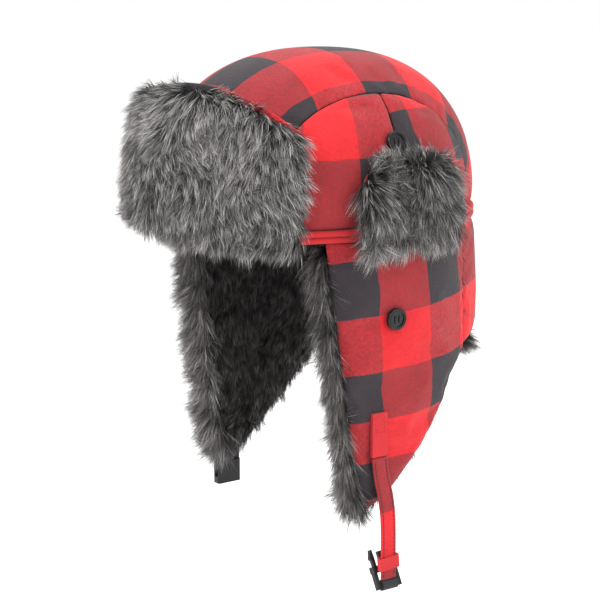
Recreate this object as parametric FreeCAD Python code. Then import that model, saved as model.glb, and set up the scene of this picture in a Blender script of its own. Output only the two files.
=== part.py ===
import FreeCAD, Part
import math
import os

# Trapper hat, in millimetres.
# Origin: centre of the head opening at the level of the band seam.
# +Z is up, the hat's front faces -Y and the wearer's left is +X.

os.makedirs("parts", exist_ok=True)

V = FreeCAD.Vector

# Crown
HALF_LENGTH = 118.0  # band to centre, front and back
HALF_WIDTH = 92.0  # band to centre, left and right
CROWN_TOP = 111.5
CROWN_POWER = 2.4  # how boxy the crown is: 2 is an ellipse
BAND_HALF = 4.0  # half the height of the band welt
STRIP_HALF = 64.0  # half-width of the centre strip
SIDE_SEAM_Y = 8.0  # where the front and rear side panels meet

# Layers, as depths inward from the outer surface
FABRIC = 1.2
WADDING = 9.2
LINING = 10.2
SWEATBAND_OUTER = 12.0
SWEATBAND_THICK = 1.6
SWEATBAND_PROFILE = [(-6.5, 100.0), (8.0, 100.0), (26.0, 98.8)]
SKIRT_WADDING = 6.2
SKIRT_PILE = 18.0
SEAM_GAP = 0.1  # running gap between neighbouring pieces

# Skirt: how its half-size swells and tapers over its depth, as a cubic of depth / SKIRT_DEPTH
SKIRT_DEPTH = 200.0
SKIRT_SWELL = (0.116, -0.041, -0.115)
TEMPLE = (-50.0, -10.0)  # front end of the crease where an ear flap lifts, as (y, z)
FLAP_TIP = (-18.0, -190.0)
NAPE_CORNER = (76.0, -86.0)  # rear end of the crease
FRONT_EDGE = [TEMPLE, (-47.5, -32.0), (-44.0, -61.0), (-38.5, -109.0), (-32.0, -150.0), (-27.0, -176.0), FLAP_TIP]
REAR_EDGE = [FLAP_TIP, (-2.0, -179.5), (12.0, -165.5), (30.0, -146.5), (46.0, -126.0), (60.0, -104.5), (76.0, -90.0)]
NAPE_BOTTOM = -87.0
CREASE_GAP = 0.3

# Turned-up visor
VISOR_INNER = -3.2  # depth of its inner face, outside the band
VISOR_BACKING = 1.4
VISOR_WADDING = 3.0
VISOR_PILE = 13.0
VISOR_BOTTOM = -2.5
VISOR_LEAN = 0.12  # how fast it closes in over the crown
VISOR_TOP = 96.0
VISOR_TOP_DROP = 38.0  # how much lower its rounded ends are
VISOR_TILT = 10.0  # how much higher the wearer's left end sits than the middle
VISOR_END = 56.0  # degrees each way round from the front

# Ear door: the small pile-covered flap folded up on each side
DOOR_HINGE = V(96.5, 7.0, -3.0)
DOOR_TURN = 5.0  # degrees its hinge line turns in towards the back
DOOR_LEAN = 9.0  # degrees it leans in over the crown
DOOR_WIDTH = 80.0
DOOR_HEIGHT = 50.0
DOOR_BACKING = 1.4
DOOR_PILE = 12.0
DOOR_CORNER = 14.0
LOOP_CORD_R = 0.8
LOOP_OFF = 1.35  # middle of the elastic above the crown, under the button

# Buttons
BUTTON_R = 7.5
BUTTON_HEIGHT = 3.4
STEM_R = 1.6
STEM_LENGTH = 2.6
UPPER_BUTTON = (2.0, 57.0)  # y and z
LOWER_BUTTON = (-4.0, -57.0)

# Chin strap, on the left flap
STRAP_WIDTH = 12.5
STRAP_THICK = 2.0
STRAP_X = 96.0  # middle of its thickness
ANCHOR_FACE = 94.8  # its back, against the flap
ANCHOR_TOP = -120.0
ANCHOR_BOTTOM = -149.9
ANCHOR_Y = -15.5
STRAP_LINE = [(-15.0, -151.6), (-13.0, -165.0), (-9.0, -182.0), (-7.0, -200.0), (-6.5, -238.2)]
STRAP_END = V(STRAP_X, -6.5, -242.0)
KEEPER_WIDTH = 16.0
KEEPER_HEIGHT = 9.0
KEEPER_THICK = 1.0
KEEPER_Z = -226.5

# Side-release buckle
BAR_R = 1.6
EYE_INNER = 2.05
EYE_OUTER = 3.7
BUCKLE_WIDTH = 20.0
RAIL_INNER = 7.2
MALE_LEAN = 29.0
TAB_X = -95.5
TAB_FACE = 93.9  # its back, against the flap
TAB_Y = -13.0
TAB_TOP = -150.0
TAB_END = V(TAB_X, TAB_Y, -196.5)


def save(name, shape):
    shape.exportStep("parts/" + name + ".step")


def box(x0, x1, y0, y1, z0, z1):
    return Part.makeBox(x1 - x0, y1 - y0, z1 - z0, V(x0, y0, z0))


def mirrored(shape):
    return shape.mirror(V(0, 0, 0), V(1, 0, 0))


def oval(profile_edges, depth):
    """Turn a closed half-profile, drawn for a band radius of 100, into a solid with the band's oval."""
    face = Part.Face(Part.Wire(profile_edges))
    solid = face.revolve(V(0, 0, 0), V(0, 0, 1), 360)
    m = FreeCAD.Matrix()
    m.scale((HALF_WIDTH - depth) / 100.0, (HALF_LENGTH - depth) / 100.0, 1.0)
    return solid.transformGeometry(m)


def line(p, q):
    return Part.LineSegment(p, q).toShape()


def spline(points):
    curve = Part.BSplineCurve()
    curve.interpolate(points)
    return curve.toShape()


def dome(depth):
    """The crown as a solid, its surface this deep inside the outer fabric."""
    height = CROWN_TOP - BAND_HALF - depth
    points = []
    steps = 14
    for i in range(steps + 1):
        turn = math.pi / 2 * i / steps
        r = 100.0 * math.cos(turn) ** (2 / CROWN_POWER)
        z = height * math.sin(turn) ** (2 / CROWN_POWER)
        points.append(V(r if i < steps else 0.0, 0, z + BAND_HALF))
    curve = Part.BSplineCurve()
    curve.interpolate(Points=points, InitialTangent=V(0, 0, 1), FinalTangent=V(-1, 0, 0))
    edges = [curve.toShape(), line(points[-1], V(0, 0, BAND_HALF)), line(V(0, 0, BAND_HALF), points[0])]
    return oval(edges, depth)


def percent(depth):
    """A depth inside the fabric in percent of the band's size, a mean of its length and width."""
    return 100.0 * depth / ((HALF_LENGTH + HALF_WIDTH) / 2)


def ring(profile, outer, inner):
    """A wall round the vertical axis between two depths, its size given in percent of the band."""
    first = [V(r - percent(outer), 0, z) for z, r in profile]
    second = [V(r - percent(inner), 0, z) for z, r in profile]
    edges = [spline(first), line(first[-1], second[-1]), spline(second), line(second[0], first[0])]
    return oval(Part.__sortEdges__(edges), 0.0)


def patch(outer, inner):
    """A solid between two four-sided sheets of points, with ruled edges all round."""
    sheets = []
    for rows in (outer, inner):
        surface = Part.BSplineSurface()
        surface.interpolate(rows)
        sheets.append(surface)
    faces = [surface.toShape() for surface in sheets]
    u0, u1, v0, v1 = sheets[0].bounds()
    m0, m1, n0, n1 = sheets[1].bounds()
    sides = [
        (sheets[0].uIso(u0), sheets[1].uIso(m0)),
        (sheets[0].uIso(u1), sheets[1].uIso(m1)),
        (sheets[0].vIso(v0), sheets[1].vIso(n0)),
        (sheets[0].vIso(v1), sheets[1].vIso(n1)),
    ]
    for one, other in sides:
        faces.append(Part.makeRuledSurface(one.toShape(), other.toShape()))
    shell = Part.makeShell(faces)
    shell.sewShape()
    solid = Part.makeSolid(shell)
    if solid.Volume < 0:
        solid.reverse()
    return solid


def between(low, high, count):
    return [low + (high - low) * i / (count - 1) for i in range(count)]


def along(points, count):
    """Points at equal steps along a smooth curve through the given (y, z) pairs."""
    curve = Part.BSplineCurve()
    curve.interpolate([V(0, y, z) for y, z in points])
    return [(p.y, p.z) for p in curve.toShape().discretize(count)]


def crown_layer(outer, inner):
    return dome(outer).cut(dome(inner))


def crown_panels(layer, strip_name, side_name):
    """Cut one layer of the crown into its centre strip and four side panels."""
    g = SEAM_GAP / 2
    strip = box(-STRIP_HALF + g, STRIP_HALF - g, -200, 200, -10, 200)
    front = box(STRIP_HALF + g, 200, -200, SIDE_SEAM_Y - g, -10, 200)
    rear = box(STRIP_HALF + g, 200, SIDE_SEAM_Y + g, 200, -10, 200)
    save(strip_name, layer.common(strip))
    for place, cutter in (("front", front), ("rear", rear)):
        side = layer.common(cutter)
        save(side_name + "_" + place + "_left", side)
        save(side_name + "_" + place + "_right", mirrored(side))


def crown():
    crown_panels(crown_layer(0.0, FABRIC), "crown_top_strip", "crown_side")
    crown_panels(crown_layer(FABRIC, WADDING), "strip_wadding", "side_wadding")
    save("crown_lining", crown_layer(WADDING, LINING))


def band():
    """Two rolled welts one above the other, with the seam allowances behind them."""
    r = 2.0
    core = 100.0 - 9.0
    edges = [
        line(V(core, 0, -2 * r), V(100, 0, -2 * r)),
        Part.Arc(V(100, 0, -2 * r), V(100 + r, 0, -r), V(100, 0, -0.3)).toShape(),
        line(V(100, 0, -0.3), V(100, 0, 0.3)),
        Part.Arc(V(100, 0, 0.3), V(100 + r, 0, r), V(100, 0, 2 * r)).toShape(),
        line(V(100, 0, 2 * r), V(core, 0, 2 * r)),
        line(V(core, 0, 2 * r), V(core, 0, -2 * r)),
    ]
    save("band_welt", oval(edges, 0.0))
    save("sweatband", ring(SWEATBAND_PROFILE, SWEATBAND_OUTER, SWEATBAND_OUTER + SWEATBAND_THICK))


def skirt_half(z, depth):
    """Half-width and half-length of the skirt at this height and depth."""
    u = -z / SKIRT_DEPTH
    swell = 1 + SKIRT_SWELL[0] * u + SKIRT_SWELL[1] * u ** 2 + SKIRT_SWELL[2] * u ** 3
    return HALF_WIDTH * swell - depth, HALF_LENGTH * swell - depth


def on_side(y, z, depth):
    """The point of the left side of the skirt with this y and z."""
    half_x, half_y = skirt_half(z, depth)
    return V(half_x * math.sqrt(1 - (y / half_y) ** 2), y, z)


def crease_z(y):
    share = (y - TEMPLE[0]) / (NAPE_CORNER[0] - TEMPLE[0])
    return TEMPLE[1] + share * (NAPE_CORNER[1] - TEMPLE[1])


def flap_sheet(depth):
    """The lifting part of the left ear flap: from the crease down to its tip."""
    columns, rows = 15, 11
    crease = [(y, crease_z(y) - CREASE_GAP) for y in between(TEMPLE[0], NAPE_CORNER[0], columns)]
    rear = along(REAR_EDGE, columns)
    front = along([crease[0]] + FRONT_EDGE[1:], rows)
    back = [(NAPE_CORNER[0], z) for z in between(crease[-1][1], rear[-1][1], rows)]
    sheet = []
    for i in range(columns):
        s = i / (columns - 1)
        column = []
        for j in range(rows):
            t = j / (rows - 1)
            point = []
            for k in (0, 1):
                across = (1 - s) * front[j][k] + s * back[j][k]
                down = (1 - t) * crease[i][k] + t * rear[i][k]
                corners = (1 - t) * ((1 - s) * crease[0][k] + s * crease[-1][k])
                corners += t * ((1 - s) * rear[0][k] + s * rear[-1][k])
                point.append(across + down - corners)
            column.append(on_side(point[0], point[1], depth))
        sheet.append(column)
    return sheet


def side_sheet(depth, top):
    """The fixed part of the skirt over the left ear: from the band down to the crease."""
    sheet = []
    for y in between(TEMPLE[0], NAPE_CORNER[0], 15):
        bottom = crease_z(y)
        sheet.append([on_side(y, z, depth) for z in between(max(top, bottom + 2.0), bottom, 9)])
    return sheet


def nape_sheet(depth, top):
    """The nape, from one ear's rear seam round the back to the other's."""
    sheet = []
    for s in between(-1.0, 1.0, 17):
        column = []
        for z in between(top, NAPE_BOTTOM - 3.0 * abs(s) ** 4, 9):
            half_x, half_y = skirt_half(z, depth)
            edge = math.acos((NAPE_CORNER[0] + SEAM_GAP) / half_y)
            turn = edge * s
            column.append(V(half_x * math.sin(turn), half_y * math.cos(turn), z))
        sheet.append(column)
    return sheet


def skirt():
    """The nape and the two ear flaps, each with a shell, wadding and a pile lining."""
    layers = [
        ("shell", 0.0, FABRIC, -BAND_HALF - 0.1),
        ("wadding", FABRIC + SEAM_GAP, SKIRT_WADDING, -BAND_HALF - 0.1),
        ("pile", SKIRT_WADDING + SEAM_GAP, SKIRT_PILE, -7.0),
    ]
    for name, outer, inner, top in layers:
        flap = patch(flap_sheet(outer), flap_sheet(inner))
        save("flap_" + name + "_left", flap)
        save("flap_" + name + "_right", mirrored(flap))
        side = patch(side_sheet(outer, top), side_sheet(inner, top))
        save("ear_" + name + "_left", side)
        save("ear_" + name + "_right", mirrored(side))
        save("nape_" + name, patch(nape_sheet(outer, top), nape_sheet(inner, top)))


def visor_sheet(depth, trim):
    sheet = []
    for s in between(-1.0, 1.0, 21):
        turn = math.radians(VISOR_END) * s
        top = VISOR_TOP - trim + VISOR_TILT * s - VISOR_TOP_DROP * abs(s) ** 2.4
        column = []
        for z in between(VISOR_BOTTOM, top, 11):
            close = 1 - VISOR_LEAN * (z / 100.0) ** 2
            half_x, half_y = HALF_WIDTH * close - depth, HALF_LENGTH * close - depth
            column.append(V(half_x * math.sin(turn), -half_y * math.cos(turn), z))
        sheet.append(column)
    return sheet


def visor():
    """The visor's three layers, from the plaid next to the crown out to the pile."""
    face = VISOR_INNER
    layers = [("backing", VISOR_BACKING, 0.0), ("wadding", VISOR_WADDING, 1.0), ("pile", VISOR_PILE, 0.0)]
    for name, thick, trim in layers:
        save("visor_" + name, patch(visor_sheet(face - thick, trim), visor_sheet(face, trim)))
        face = face - thick - SEAM_GAP


def door_place(shape):
    """Stand a door drawn at the origin (width on Y, height on Z, outward +X) on its hinge line."""
    shape.rotate(V(0, 0, 0), V(0, 1, 0), -DOOR_LEAN)
    shape.rotate(V(0, 0, 0), V(0, 0, 1), DOOR_TURN)
    shape.translate(DOOR_HINGE)
    return shape


def door_outline(inset, x0, thick):
    half = DOOR_WIDTH / 2 - inset
    body = box(x0, x0 + thick, -half, half, 2.0, DOOR_HEIGHT - inset)
    corners = [e for e in body.Edges if e.BoundBox.XLength > thick / 2 and e.BoundBox.ZMin > 20]
    return body.makeFillet(DOOR_CORNER - inset / 2, corners)


def door():
    backing = door_outline(0.5, 0.0, DOOR_BACKING)
    pile = door_outline(0.0, DOOR_BACKING, DOOR_PILE)
    foot = DOOR_BACKING + 3.0
    # The pile thins out towards the hinge, where it folds
    thin = Part.makePolygon([V(foot, -60, 1.9), V(60, -60, 1.9), V(60, -60, 1.9 + 2 * (60 - foot)), V(foot, -60, 1.9)])
    pile = pile.cut(Part.Face(thin).extrude(V(0, 120, 0)))
    for name, shape in (("backing", door_place(backing)), ("pile", door_place(pile)), ("loop", door_loop())):
        save("ear_door_" + name + "_left", shape)
        save("ear_door_" + name + "_right", mirrored(shape))


def crown_normal(y, z):
    """The point on the crown at the wearer's left with this y and z, and its outward normal."""
    height = CROWN_TOP - BAND_HALF
    share = 1.0 - ((z - BAND_HALF) / height) ** CROWN_POWER
    radius = share ** (1 / CROWN_POWER)
    x = HALF_WIDTH * math.sqrt(radius ** 2 - (y / HALF_LENGTH) ** 2)
    flat = (x / HALF_WIDTH) ** 2 + (y / HALF_LENGTH) ** 2
    gain = flat ** (CROWN_POWER / 2 - 1)
    n = V(gain * x / HALF_WIDTH ** 2, gain * y / HALF_LENGTH ** 2,
          ((z - BAND_HALF) / height) ** (CROWN_POWER - 1) / height)
    return V(x, y, z), n.normalize()


def door_loop():
    """The elastic loop from the door's top edge, round the upper button's stem."""
    button_y, button_z = UPPER_BUTTON
    ends = []
    for side in (-3.0, 3.0):
        ends.append(door_place(Part.Vertex(0.5, button_y - DOOR_HINGE.y + side, DOOR_HEIGHT)).Point)
    around = []
    for y, z in ((-3.7, -5.5), (-3.5, 0.0), (-2.2, 2.8), (0.0, 3.8), (2.2, 2.8), (3.5, 0.0), (3.7, -5.5)):
        point, normal = crown_normal(button_y + y, button_z + z)
        around.append(point + normal * LOOP_OFF)
    path = spline([ends[0]] + around + [ends[1]])
    circle = Part.makeCircle(LOOP_CORD_R, ends[0], path.tangentAt(path.FirstParameter))
    return Part.Wire([path]).makePipeShell([Part.Wire([circle])], True, False)


def button_shape():
    """A four-hole button on +Z with a raised rim, its underside at the origin."""
    disc = Part.makeCylinder(BUTTON_R, BUTTON_HEIGHT)
    rims = [e for e in disc.Edges if isinstance(e.Curve, Part.Circle)]
    disc = disc.makeFillet(0.9, rims)
    disc = disc.cut(Part.makeCylinder(BUTTON_R - 2.2, 2.0, V(0, 0, BUTTON_HEIGHT - 0.9)))
    groove = Part.makeCylinder(BUTTON_R - 1.0, 1.0, V(0, 0, BUTTON_HEIGHT - 0.25))
    groove = groove.cut(Part.makeCylinder(BUTTON_R - 1.4, 1.0, V(0, 0, BUTTON_HEIGHT - 0.25)))
    disc = disc.cut(groove)
    for sx in (-1, 1):
        for sy in (-1, 1):
            disc = disc.cut(Part.makeCylinder(0.85, 10, V(1.7 * sx, 1.7 * sy, -2)))
    return disc


def stem_shape():
    """The thread shank under a button and the four threads through its holes."""
    stem = Part.makeCylinder(STEM_R, STEM_LENGTH, V(0, 0, -STEM_LENGTH))
    top = BUTTON_HEIGHT - 0.9
    for sy in (-1, 1):
        stitch = Part.makeCylinder(0.45, 3.4, V(-1.7, 1.7 * sy, top + 0.5), V(1, 0, 0))
        for sx in (-1, 1):
            stitch = stitch.fuse(Part.makeCylinder(0.45, top + 0.9, V(1.7 * sx, 1.7 * sy, -0.4)))
        stem = stem.fuse(stitch)
    foot = Part.makeCylinder(2.4, 0.4, V(0, 0, -0.4))
    return stem.fuse(foot)


def place_on(shape, point, normal, off):
    turned = shape.copy()
    turned.Placement = FreeCAD.Placement(point + normal * off, FreeCAD.Rotation(V(0, 0, 1), normal))
    return turned


def buttons():
    y, z = LOWER_BUTTON
    spots = [("upper", *crown_normal(*UPPER_BUTTON)), ("lower", on_side(y, z, 0.0), V(1, y / 150, 0).normalize())]
    for name, point, normal in spots:
        button = place_on(button_shape(), point, normal, STEM_LENGTH + 0.15)
        stem = place_on(stem_shape(), point, normal, STEM_LENGTH + 0.12)
        save(name + "_button_left", button)
        save(name + "_button_right", mirrored(button))
        save(name + "_button_thread_left", stem)
        save(name + "_button_thread_right", mirrored(stem))


def ribbon(line_yz, width, x, thick):
    """A flat strap whose middle follows a line in a plane of constant x."""
    left, right = [], []
    last = len(line_yz) - 1
    for i, (y, z) in enumerate(line_yz):
        a = line_yz[max(i - 1, 0)]
        b = line_yz[min(i + 1, last)]
        length = math.hypot(b[0] - a[0], b[1] - a[1])
        ny, nz = -(b[1] - a[1]) / length, (b[0] - a[0]) / length
        if i in (0, last):
            ny, nz = 1.0, 0.0
        x0 = x - thick / 2
        left.append(V(x0, y + ny * width / 2, z + nz * width / 2))
        right.append(V(x0, y - ny * width / 2, z - nz * width / 2))
    wire = Part.Wire([spline(left), line(left[-1], right[-1]), spline(right), line(right[0], left[0])])
    return Part.Face(Part.Wire(Part.__sortEdges__(wire.Edges))).extrude(V(thick, 0, 0))


def eye(centre, width, neck_top):
    """A sewn eye round a buckle bar that lies along Y."""
    low = V(centre.x, centre.y - width / 2, centre.z)
    tube = Part.makeCylinder(EYE_OUTER, width, low, V(0, 1, 0))
    neck = box(centre.x - STRAP_THICK / 2, centre.x + STRAP_THICK / 2, centre.y - width / 2,
               centre.y + width / 2, centre.z, neck_top)
    return tube.fuse(neck).cut(Part.makeCylinder(EYE_INNER, width, low, V(0, 1, 0)))


def chin_strap():
    y0, y1 = ANCHOR_Y - STRAP_WIDTH / 2, ANCHOR_Y + STRAP_WIDTH / 2
    anchor = box(ANCHOR_FACE, STRAP_X + 1.4, y0, y1, ANCHOR_BOTTOM, ANCHOR_TOP)
    save("strap_anchor", anchor)
    save("chin_strap", ribbon(STRAP_LINE, STRAP_WIDTH, STRAP_X, STRAP_THICK))
    save("strap_end_eye", eye(STRAP_END, STRAP_WIDTH, STRAP_LINE[-1][1] - 0.02))
    keeper = loop_round(STRAP_END.y, KEEPER_Z)
    save("strap_keeper", keeper)


def loop_round(y, z):
    """The keeper: a narrow closed band round the strap, a little aslant."""
    half_w = KEEPER_WIDTH / 2
    half_t = STRAP_THICK / 2 + 0.4 + KEEPER_THICK
    outer = box(-half_t, half_t, -half_w, half_w, -KEEPER_HEIGHT / 2, KEEPER_HEIGHT / 2)
    corners = [e for e in outer.Edges if e.BoundBox.ZLength > KEEPER_HEIGHT / 2]
    outer = outer.makeFillet(1.0, corners)
    inner = box(-half_t + KEEPER_THICK, half_t - KEEPER_THICK, -half_w + KEEPER_THICK, half_w - KEEPER_THICK, -20, 20)
    band_loop = outer.cut(inner)
    band_loop.rotate(V(0, 0, 0), V(1, 0, 0), 5.0)
    band_loop.translate(V(STRAP_X, y, z))
    return band_loop


def bar_and_rails(length):
    """A buckle's bar along Y at the origin and the two rails that run from it along +Z."""
    half = BUCKLE_WIDTH / 2
    shape = Part.makeCylinder(BAR_R, BUCKLE_WIDTH - 1, V(0, -half + 0.5, 0), V(0, 1, 0))
    for y0, y1 in ((-half, -RAIL_INNER), (RAIL_INNER, half)):
        rail = box(-1.7, 1.7, y0, y1, -2.6, length)
        shape = shape.fuse(rail)
    return shape


def male_buckle():
    half = BUCKLE_WIDTH / 2
    shape = bar_and_rails(9.5)
    shape = shape.fuse(box(-2.5, 2.5, -half, half, 9.0, 13.5))
    shape = shape.fuse(box(-1.3, 1.3, -1.8, 1.8, 13.0, 23.0))
    for side in (-1, 1):
        arm = [(5.9, 13.0), (8.1, 13.0), (8.4, 18.0), (9.6, 18.8), (7.6, 25.0), (6.4, 25.0), (6.0, 19.0)]
        points = [V(-1.5, side * y, z) for y, z in arm]
        prong = Part.Face(Part.makePolygon(points + [points[0]])).extrude(V(3.0, 0, 0))
        shape = shape.fuse(prong)
    shape = shape.removeSplitter()
    shape.rotate(V(0, 0, 0), V(0, 1, 0), -MALE_LEAN)
    shape.translate(STRAP_END)
    save("buckle_male", shape)


def female_buckle():
    half = BUCKLE_WIDTH / 2
    shape = bar_and_rails(6.0)
    body = box(-4.0, 4.0, -half, half, 5.0, 22.0)
    edges = [e for e in body.Edges if e.BoundBox.ZLength > 15]
    body = body.makeFillet(2.0, edges)
    mouth = box(-2.4, 2.4, -7.9, 7.9, 7.5, 40.0)
    window = box(-2.4, 2.4, -40, 40, 11.0, 17.0)
    shape = shape.fuse(body.cut(mouth).cut(window)).removeSplitter()
    shape.rotate(V(0, 0, 0), V(1, 0, 0), 180)
    shape.translate(TAB_END)
    save("buckle_female", shape)


def webbing_tab():
    y0, y1 = TAB_Y - STRAP_WIDTH / 2, TAB_Y + STRAP_WIDTH / 2
    patch_box = box(TAB_X - STRAP_THICK / 2, -TAB_FACE, y0, y1, TAB_TOP - 14, TAB_TOP)
    hang = box(TAB_X - STRAP_THICK / 2, TAB_X + STRAP_THICK / 2, y0, y1, TAB_END.z + 3.0, TAB_TOP)
    tab = patch_box.fuse(hang).fuse(eye(TAB_END, STRAP_WIDTH, TAB_END.z + 6.0))
    save("webbing_tab", tab.removeSplitter())


crown()
band()
skirt()
visor()
door()
buttons()
chin_strap()
male_buckle()
female_buckle()
webbing_tab()
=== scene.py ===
import bmesh
import bpy
import math
import numpy as np
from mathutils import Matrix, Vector, kdtree


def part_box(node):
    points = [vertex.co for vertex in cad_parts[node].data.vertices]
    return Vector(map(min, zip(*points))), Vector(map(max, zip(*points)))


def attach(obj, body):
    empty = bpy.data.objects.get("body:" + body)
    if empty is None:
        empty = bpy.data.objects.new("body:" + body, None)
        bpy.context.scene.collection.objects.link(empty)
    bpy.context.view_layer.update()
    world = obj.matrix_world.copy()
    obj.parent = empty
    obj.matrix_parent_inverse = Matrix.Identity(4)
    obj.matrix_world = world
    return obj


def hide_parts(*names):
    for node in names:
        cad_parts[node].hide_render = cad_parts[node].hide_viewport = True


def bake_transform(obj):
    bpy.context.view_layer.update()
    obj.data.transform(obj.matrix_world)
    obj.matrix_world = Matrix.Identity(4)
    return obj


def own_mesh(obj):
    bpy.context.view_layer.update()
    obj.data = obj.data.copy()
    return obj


# Looks of the trapper hat, in metres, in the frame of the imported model:
# the band seam is at height 0, the front faces -Y and the wearer's left is +X.

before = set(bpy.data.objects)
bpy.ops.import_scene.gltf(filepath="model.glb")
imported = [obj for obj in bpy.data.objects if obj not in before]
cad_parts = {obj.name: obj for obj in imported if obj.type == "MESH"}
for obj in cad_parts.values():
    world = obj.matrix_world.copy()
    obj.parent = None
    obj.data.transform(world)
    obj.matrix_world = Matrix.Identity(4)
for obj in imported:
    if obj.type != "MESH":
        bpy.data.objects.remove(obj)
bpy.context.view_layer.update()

SEED = 11

# ---- sizes

strip_low, strip_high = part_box("crown_top_strip")
side_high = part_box("crown_side_front_left")[1]
flap_low, flap_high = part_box("flap_shell_left")
nape_low, nape_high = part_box("nape_shell")
visor_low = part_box("visor_pile")[0]

HALF_LENGTH = strip_high[1]
HALF_WIDTH = side_high[0]
STRIP_HALF = strip_high[0]
BAND_TOP = strip_low[2]
CROWN_RISE = strip_high[2] - BAND_TOP
CROWN_POWER = 2.4
SIDE_SEAM_Y = side_high[1]

SKIRT_DEPTH = 0.200
SKIRT_SWELL = (0.116, -0.041, -0.115)
SKIRT_TOP = nape_high[2]
TEMPLE_Y = flap_low[1]
CREASE_FRONT = (TEMPLE_Y, flap_high[2])
CREASE_REAR = (flap_high[1], nape_low[2] + 0.004)
FRONT_EDGE = [(-0.0490, -0.020), (-0.0460, -0.045), (-0.0410, -0.088), (-0.0350, -0.131),
              (-0.0295, -0.164), (-0.0245, -0.181), (-0.0160, -0.1885)]
REAR_EDGE = [(-0.0160, -0.1885), (-0.0050, -0.1820), (0.0110, -0.1665), (0.0300, -0.1465),
             (0.0460, -0.1260), (0.0600, -0.1045)]
NAPE_BOTTOM = nape_low[2] + 0.003

VISOR_END = 56.0
VISOR_LEAN = 12.0  # closes in by this share of its radius at one metre up, squared
VISOR_BOTTOM = visor_low[2]
VISOR_TOP = 0.096
VISOR_TOP_DROP = 0.038
VISOR_TILT = 0.010
VISOR_FACE = 0.0032  # gap from the band to the visor's inner face

CHECK = 0.040  # one square of the check
CLOTH_THICK = 0.0013
SIM_FRAMES = 20
STRAP_WIDTH = 0.0125
STRAP_LINE = [(-0.013, -0.165), (-0.009, -0.182), (-0.007, -0.200), (-0.0065, -0.2382)]
STRAP_TOP = (-0.015, -0.1508)
STRAP_SEAM_TOP = (-0.015, -0.1516)
STRAP_SEAM_OFF = 0.0044  # from the middle of the strap to each row of stitching
TAB_FACE_X = -0.0965


# ---- mesh helpers

def new_object(name, verts, faces):
    """A smooth-shaded mesh object."""
    mesh = bpy.data.meshes.new(name)
    mesh.from_pydata([tuple(map(float, v)) for v in verts], [], [tuple(map(int, f)) for f in faces])
    mesh.validate()
    mesh.update()
    obj = bpy.data.objects.new(name, mesh)
    bpy.context.scene.collection.objects.link(obj)
    mesh.polygons.foreach_set("use_smooth", [True] * len(mesh.polygons))
    return obj


def grid_faces(columns, rows):
    faces = []
    for i in range(columns - 1):
        for j in range(rows - 1):
            a = i * rows + j
            faces.append((a, a + rows, a + rows + 1, a + 1))
    return faces


def coordinates(obj):
    co = np.empty(len(obj.data.vertices) * 3)
    obj.data.vertices.foreach_get("co", co)
    return co.reshape(-1, 3)


def set_coordinates(obj, co):
    obj.data.vertices.foreach_set("co", np.asarray(co, float).ravel())
    obj.data.update()


def unit(v):
    return v / np.maximum(np.linalg.norm(v, axis=-1, keepdims=True), 1e-12)


def grid_normals(points):
    """Outward normals of a grid of points, columns by rows by three."""
    du = np.gradient(points, axis=0)
    dv = np.gradient(points, axis=1)
    n = unit(np.cross(du, dv))
    centre = np.array([0.0, 0.0, np.clip(points[..., 2].mean(), -0.1, 0.03)])
    facing = ((points - centre) * n).sum(-1)
    return n if facing.mean() > 0 else -n


def add_uv(obj, name, uv):
    """A UV layer from one value per vertex."""
    layer = obj.data.uv_layers.new(name=name)
    loops = np.empty(len(obj.data.loops), int)
    obj.data.loops.foreach_get("vertex_index", loops)
    layer.data.foreach_set("uv", np.asarray(uv, float)[loops].ravel())


def apply_modifiers(obj):
    graph = bpy.context.evaluated_depsgraph_get()
    mesh = bpy.data.meshes.new_from_object(obj.evaluated_get(graph), preserve_all_data_layers=True,
                                           depsgraph=graph)
    obj.modifiers.clear()
    old = obj.data
    obj.data = mesh
    bpy.data.meshes.remove(old)


def curve_points(points, count):
    """Points at even steps along a smooth curve through a short list of points."""
    p = np.asarray(points, float)
    ends = np.vstack([2 * p[0] - p[1], p, 2 * p[-1] - p[-2]])
    fine = []
    for k in range(len(p) - 1):
        a, b, c, d = ends[k:k + 4]
        t = np.linspace(0, 1, 24, endpoint=False)[:, None]
        fine.append(0.5 * (2 * b + (c - a) * t + (2 * a - 5 * b + 4 * c - d) * t ** 2
                           + (3 * b - a - 3 * c + d) * t ** 3))
    fine = np.vstack(fine + [p[-1:]])
    length = np.concatenate([[0], np.cumsum(np.linalg.norm(np.diff(fine, axis=0), axis=1))])
    at = np.linspace(0, length[-1], count)
    return np.stack([np.interp(at, length, fine[:, k]) for k in range(p.shape[1])], -1)


def smooth_noise(points, size, seed):
    """Gentle noise between about -1 and 1, varying over this size."""
    rng = np.random.default_rng(seed)
    value = np.zeros(points.shape[:-1])
    for _ in range(9):
        k = rng.normal(size=3)
        k = k / np.linalg.norm(k) * rng.uniform(0.6, 1.5) * 2 * math.pi / size
        value += np.sin(points @ k + rng.uniform(0, 6.28))
    return value / 3.0


# ---- surfaces of the hat

def crown_share(fixed, psi):
    """How far out the crown is, as a share, for one fixed share and an angle in the other two."""
    low = np.zeros(np.broadcast(fixed, psi).shape)
    high = np.full_like(low, 1.25)
    for _ in range(40):
        m = (low + high) / 2
        flat = (fixed ** 2 + (m * np.cos(psi)) ** 2) ** (CROWN_POWER / 2)
        inside = flat + (m * np.sin(psi)) ** CROWN_POWER < 1
        low, high = np.where(inside, m, low), np.where(inside, high, m)
    return low


def crown_strip_grid(columns, rows):
    x = np.linspace(-STRIP_HALF, STRIP_HALF, columns)[:, None]
    psi = np.linspace(0, math.pi, rows)[None, :]
    m = crown_share(x / HALF_WIDTH, psi)
    y = -HALF_LENGTH * m * np.cos(psi)
    z = BAND_TOP + CROWN_RISE * m * np.sin(psi)
    return np.stack([np.broadcast_to(x, y.shape), y, z], -1)


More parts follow.
